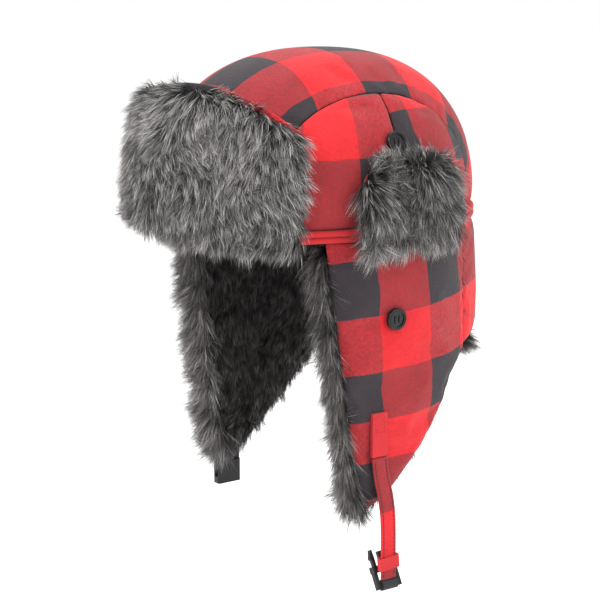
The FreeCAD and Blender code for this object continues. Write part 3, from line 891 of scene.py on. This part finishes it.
def front_fringe(side, count, seed, longer):
    """The tuft of pile that shows all along an ear flap's front edge and turns out over the cloth."""
    rng = np.random.default_rng(seed)
    rows = 200
    edge = flap_outline_grid(3, rows, grow=0.001)[0]
    at = rng.uniform(0.04, 0.985, count) * (rows - 1)
    yz = np.stack([np.interp(at, np.arange(rows), edge[:, k]) for k in (0, 1)], -1)
    depth = rng.uniform(0.0028, 0.0115, count)
    roots = on_side(yz + [0.0015, 0], depth)
    forward = unit(on_side(yz - [0.002, 0], depth) - roots)
    outward = unit(roots * [1, 1, 0])
    swirl = np.stack([smooth_noise(roots, 0.03, s) for s in (14, 15, 16)], -1)
    lay = np.array([0, 0, -0.9]) + 0.5 * swirl + rng.uniform(-0.6, 2.4, count)[:, None] * outward
    shade = 0.25 + 0.10 * smooth_noise(roots, 0.016, 17)
    if side == "right":
        roots, forward, lay = roots * [-1, 1, 1], forward * [-1, 1, 1], lay * [-1, 1, 1]
    length = longer * rng.uniform(0.010, 0.017, count)
    return strands(f"ear_fringe_{side}", roots, forward, lay, length, shade, STRAND_EDGE, seed,
                   tilt=44.0, clump=0.9, size=12, width=0.00046)


for side in ("left", "right"):
    mirror = [1, 1, 1] if side == "left" else [-1, 1, 1]
    cloth = ear_sides[side]
    layers = [f"{place}_{layer}_{side}" for place in ("ear", "flap") for layer in ("shell", "wadding")]
    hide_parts(*layers)
    yz = flap_outline_grid(41, 61, grow=-0.0030)
    pad = pad_body(f"ear_lining_{side}", on_side(yz, FUR_BACK) * mirror, on_side(yz, FUR_FACE) * mirror,
                   GROUND_DARK, roundness=12.0)
    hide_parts(f"ear_pile_{side}", f"flap_pile_{side}")
    pile = [lining_strands(f"ear_lining_pile_{side}_{k + 1}", pad, LINING_STRANDS, SEED + 20 + k)
            for k in range(2)]
    pile.append(front_fringe(side, FRINGE_STRANDS, SEED + 50, 1.35 if side == "left" else 1.5))
    for piece in [cloth, pad] + pile:
        over_crease(piece, side)

nape_inner, nape_outer = (nape_grid(61, 25, depth, grow=0.0025) for depth in (FUR_BACK, FUR_FACE))
nape_pad = pad_body("nape_lining", nape_inner, nape_outer, GROUND_DARK, roundness=12.0)
nape_pile = lining_strands("nape_lining_pile", nape_pad, LINING_STRANDS, SEED + 30, forward=0.0)
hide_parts("nape_pile")
for piece in (nape_pad, nape_pile):
    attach(piece, "hat")


# ---- ear doors

DOOR_HINGE = np.array([0.0965, 0.007, -0.003])
DOOR_TURN = 5.0
DOOR_LEAN = 9.0
DOOR_WIDTH = 0.080
DOOR_HEIGHT = 0.050
DOOR_CORNER = 0.018
DOOR_BACKING = 0.0014
DOOR_REACH = 0.118  # pile that stands out past this is pressed half way back


def door_point(local):
    """From the door's own frame (outward, across, up from its hinge) to the hat's."""
    lean = math.radians(DOOR_LEAN)
    turn = math.radians(DOOR_TURN)
    x, y, z = local[..., 0], local[..., 1], local[..., 2]
    x, z = x * math.cos(lean) - z * math.sin(lean), x * math.sin(lean) + z * math.cos(lean)
    x, y = x * math.cos(turn) - y * math.sin(turn), x * math.sin(turn) + y * math.cos(turn)
    return np.stack([x, y, z], -1) + DOOR_HINGE


def door_sheet(columns, rows, out, inset):
    """A sheet of the door's outline, its top corners rounded, this far out from its back."""
    up = np.linspace(0.002, DOOR_HEIGHT - inset, rows)[None, :]
    into = np.clip(up - (DOOR_HEIGHT - inset - DOOR_CORNER), 0, DOOR_CORNER) / DOOR_CORNER
    half = DOOR_WIDTH / 2 - inset - DOOR_CORNER * (1 - np.sqrt(np.maximum(1 - into ** 2, 0)))
    across = np.linspace(-1, 1, columns)[:, None] * half
    return np.stack([np.full(across.shape, out), across, np.broadcast_to(up, across.shape)], -1)


for side in ("left", "right"):
    mirror = [1, 1, 1] if side == "left" else [-1, 1, 1]
    back = door_point(door_sheet(25, 21, 0.0, 0.0022)) * mirror
    face = door_point(door_sheet(25, 21, DOOR_BACKING, 0.0022)) * mirror
    backing = pad_body(f"ear_door_plaid_{side}", face, back, SKIRT_CHECK, roundness=14.0)
    local = coordinates(backing)
    add_uv(backing, "Grain", np.stack([local[:, 1], local[:, 2] + 0.05], -1))
    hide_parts(f"ear_door_backing_{side}")
    low = door_point(door_sheet(41, 33, DOOR_BACKING + 0.0002, 0.001)) * mirror
    high_local = door_sheet(41, 33, DOOR_BACKING + 0.0085, 0.001)
    high_local[..., 0] = DOOR_BACKING + 0.0004 + 0.0081 * np.clip(high_local[..., 2] / 0.016, 0.25, 1)
    pad = pad_body(f"ear_door_pad_{side}", low, door_point(high_local) * mirror, GROUND_LIGHT)
    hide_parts(f"ear_door_pile_{side}")
    rng = np.random.default_rng(SEED + 40)
    facing = door_point(np.array([[1.0, 0, 0]]))[0] - door_point(np.array([[0.0, 0, 0]]))[0]
    facing = facing * mirror
    roots, normals = scatter(pad, DOOR_STRANDS, rng,
                             lambda at, n: np.clip((n * facing).sum(-1) + 0.5, 0, 1))
    swirl = np.stack([smooth_noise(roots, 0.045, s) for s in (9, 10, 11)], -1)
    top_edge = np.clip((roots[:, 2] - 0.036) / 0.008, 0, 1) * (rng.uniform(0, 1, len(roots)) < 0.6)
    sideways = unit(roots * [0, 1, 0] - [0, DOOR_HINGE[1], 0])
    lay = np.array([0, 0, -1.0]) + 0.75 * swirl + 0.3 * sideways + 0.45 * facing
    lay[:, 2] += 2.0 * top_edge
    low_edge = np.clip((0.012 - roots[:, 2]) / 0.015, 0, 1)
    shade = 0.29 + 0.07 * smooth_noise(roots, 0.018, 12) + 0.26 * low_edge
    pile = strands(f"ear_door_pile_tufts_{side}", roots, normals, lay, 0.0155 + 0.005 * low_edge, shade,
                   STRAND_LIGHT, SEED + 41, tilt=58.0, clump=0.92, size=11, width=0.00044)
    co = coordinates(pile)
    past = np.clip(np.abs(co[:, 0]) - DOOR_REACH, 0, None)
    co[:, 0] -= 0.5 * past * np.sign(co[:, 0])
    set_coordinates(pile, co)
    for piece in (backing, pad, pile):
        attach(piece, f"ear_door_{side}")
    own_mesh(pile)


# ---- chin strap and small parts

def chin_strap():
    """The flat strap: two layers of flannel with rounded edges."""
    middle = curve_points([STRAP_TOP] + STRAP_LINE, 81)
    side_step = np.gradient(middle, axis=0)
    side_step = unit(np.stack([-side_step[:, 1], side_step[:, 0]], -1))
    side_step[0] = side_step[-1] = (1, 0)
    section = []
    for k in range(24):
        turn = 2 * math.pi * k / 24
        across = math.copysign(abs(math.cos(turn)) ** 0.35, math.cos(turn)) * STRAP_WIDTH / 2
        out = math.copysign(abs(math.sin(turn)) ** 0.7, math.sin(turn)) * 0.00095
        groove = 1 - 0.22 * math.exp(-((abs(across) - STRAP_SEAM_OFF) / 0.0007) ** 2)
        section.append((across, out * groove))
    section = np.array(section)
    verts = []
    grain = []
    for (y, z), step in zip(middle, side_step):
        for across, out in section:
            verts.append((strap_x + out, y + step[0] * across, z + step[1] * across))
            grain.append((0.060 + across, z + 0.190))
    count = len(section)
    faces = [tuple(range(count)), tuple((len(middle) - 1) * count + k for k in reversed(range(count)))]
    for i in range(len(middle) - 1):
        for k in range(count):
            a, b = i * count + k, i * count + (k + 1) % count
            faces.append((a, b, b + count, a + count))
    obj = new_object("chin_strap_cloth", verts, faces)
    add_uv(obj, "Grain", np.array(grain))
    shape = bmesh.new()
    shape.from_mesh(obj.data)
    bmesh.ops.recalc_face_normals(shape, faces=shape.faces)
    shape.to_mesh(obj.data)
    shape.free()
    return obj


strap_low, strap_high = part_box("chin_strap")
strap_x = (strap_low[0] + strap_high[0]) / 2
strap = chin_strap()
paint(strap, STRAP_CHECK)
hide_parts("chin_strap")
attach(strap, "strap")


def stitches(name, points, outward, mat, body, pitch=0.0032, size=0.0022, thick=0.00030):
    """A row of lock stitches: small half-sunk threads end to end along a line of points."""
    p = np.asarray(points, float)
    run = np.concatenate([[0], np.cumsum(np.linalg.norm(np.diff(p, axis=0), axis=1))])
    verts = []
    faces = []
    for at in np.arange(pitch / 2, run[-1], pitch):
        here = np.array([np.interp(at, run, p[:, k]) for k in range(3)])
        ahead = np.array([np.interp(min(at + 0.001, run[-1]), run, p[:, k]) for k in range(3)])
        behind = np.array([np.interp(max(at - 0.001, 0), run, p[:, k]) for k in range(3)])
        along = unit(ahead - behind)
        out = unit(np.asarray(outward, float))
        across = np.cross(along, out)
        first = len(verts)
        for t in np.linspace(-1, 1, 7):
            girth = thick * math.sqrt(max(1 - t ** 4, 0.02))
            lift = 0.0004 * (1 - t * t) - 0.0001
            for k in range(6):
                turn = 2 * math.pi * k / 6
                verts.append(here + along * t * size / 2 + out * (lift + girth * math.sin(turn))
                             + across * girth * math.cos(turn))
        for i in range(6):
            for k in range(6):
                a, b = first + i * 6 + k, first + i * 6 + (k + 1) % 6
                faces.append((a, b, b + 6, a + 6))
        faces.append(tuple(first + k for k in reversed(range(6))))
        faces.append(tuple(first + 36 + k for k in range(6)))
    obj = new_object(name, verts, faces)
    paint(obj, mat)
    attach(obj, body)
    return obj


def box_stitch(node, x, outward, mat, body, inset=0.0025):
    """A stitched square with one diagonal across it, on the face of a sewn-down end."""
    low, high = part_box(node)
    y0, y1 = low[1] + inset, high[1] - inset
    z1 = high[2] - inset
    z0 = max(low[2] + inset, z1 - 0.011)
    corners = [(x, y0, z0), (x, y1, z0), (x, y1, z1), (x, y0, z1), (x, y0, z0), (x, y1, z1)]
    lines = []
    for a, b in zip(corners, corners[1:]):
        a, b = np.array(a), np.array(b)
        lines += [a + (b - a) * t for t in np.linspace(0, 1, 12, endpoint=False)]
    stitches(f"{node}_stitching", lines, outward, mat, body)


anchor_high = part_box("strap_anchor")[1]
box_stitch("strap_anchor", anchor_high[0], (1, 0, 0), RED_THREAD, "ear_flap_left")
box_stitch("webbing_tab", TAB_FACE_X, (-1, 0, 0), BLACK_THREAD, "ear_flap_right")


def strap_seams():
    """Topstitching along both edges of the chin strap, on its outer face."""
    middle = curve_points([STRAP_SEAM_TOP] + STRAP_LINE, 60)[1:-1]
    step = unit(np.gradient(middle, axis=0))
    for name, side in (("front", -1), ("rear", 1)):
        edge = middle + side * STRAP_SEAM_OFF * np.stack([step[:, 1], -step[:, 0]], -1)
        points = np.column_stack([np.full(len(edge), strap_x + 0.0008), edge])
        stitches(f"strap_seam_{name}", points, (1, 0, 0), BLACK_THREAD, "strap", pitch=0.0027)


strap_seams()

CARRIED = {
    "band_welt": (RED_FLANNEL, "red_flannel"),
    "strap_anchor": (RED_FLANNEL, "red_flannel"),
    "strap_keeper": (RED_FLANNEL, "red_flannel"),
    "crown_lining": (LINING, "quilted_lining"),
    "sweatband": (TAPE, "tape"),
    "strap_end_eye": (WEBBING, "webbing"),
    "webbing_tab": (WEBBING, "webbing"),
    "buckle_male": (BUCKLE, "buckle"),
    "buckle_female": (BUCKLE, "buckle"),
}
for side in ("left", "right"):
    CARRIED[f"ear_door_loop_{side}"] = (ELASTIC, "elastic")
    for place in ("upper", "lower"):
        CARRIED[f"{place}_button_{side}"] = (BUTTON, "button")
        CARRIED[f"{place}_button_thread_{side}"] = (BLACK_THREAD, "thread")
for node, (mat, slot) in CARRIED.items():
    paint(bpy.data.objects[node], mat)


# ---- camera and light

CAMERA_TURN = 55.0  # from straight ahead towards the wearer's left
CAMERA_RISE = 12.5
CAMERA_DISTANCE = 1.30
AIM_SIDE = -0.0102
AIM_Z = -0.0626
LENS = 111.0
FLOOR_Z = -0.36
FLOOR_REACH = 30


def studio():
    scene = bpy.context.scene
    camera = bpy.data.objects.new("camera", bpy.data.cameras.new("camera"))
    scene.collection.objects.link(camera)
    azimuth, rise = math.radians(CAMERA_TURN), math.radians(CAMERA_RISE)
    aim = Vector((math.cos(azimuth), math.sin(azimuth), 0)) * AIM_SIDE + Vector((0, 0, AIM_Z))
    away = Vector((math.sin(azimuth) * math.cos(rise), -math.cos(azimuth) * math.cos(rise), math.sin(rise)))
    camera.location = aim + away * CAMERA_DISTANCE
    camera.rotation_euler = (-away).to_track_quat("-Z", "Y").to_euler()
    camera.data.lens = LENS
    camera.data.sensor_width = 36.0
    scene.camera = camera

    corners = [(x * FLOOR_REACH, y * FLOOR_REACH, FLOOR_Z) for x, y in ((-1, -1), (1, -1), (1, 1), (-1, 1))]
    floor = new_object("floor", corners, [(0, 1, 2, 3)])
    mat, _, shader = new_material("pale_floor")
    shader.inputs["Base Color"].default_value = (1.0, 1.0, 1.0, 1)
    shader.inputs["Roughness"].default_value = 0.9
    floor.data.materials.append(mat)

    lamps = [
        ("key", (-0.3, -1.9, 1.5), 34.0, 1.3),
        ("fill", (2.2, 0.2, 0.9), 16.0, 1.6),
        ("top", (0.2, 0.3, 2.2), 16.0, 1.5),
    ]
    for name, place, power, size in lamps:
        lamp = bpy.data.lights.new(name, "AREA")
        lamp.energy = power
        lamp.size = size
        obj = bpy.data.objects.new(name, lamp)
        obj.location = place
        obj.rotation_euler = (Vector((0, 0, -0.05)) - obj.location).to_track_quat("-Z", "Y").to_euler()
        scene.collection.objects.link(obj)

    world = bpy.data.worlds.new("studio")
    world.use_nodes = True
    world.node_tree.nodes["Background"].inputs["Color"].default_value = (1, 1, 1, 1)
    world.node_tree.nodes["Background"].inputs["Strength"].default_value = 1.0
    scene.world = world
    scene.view_settings.view_transform = "Standard"


studio()
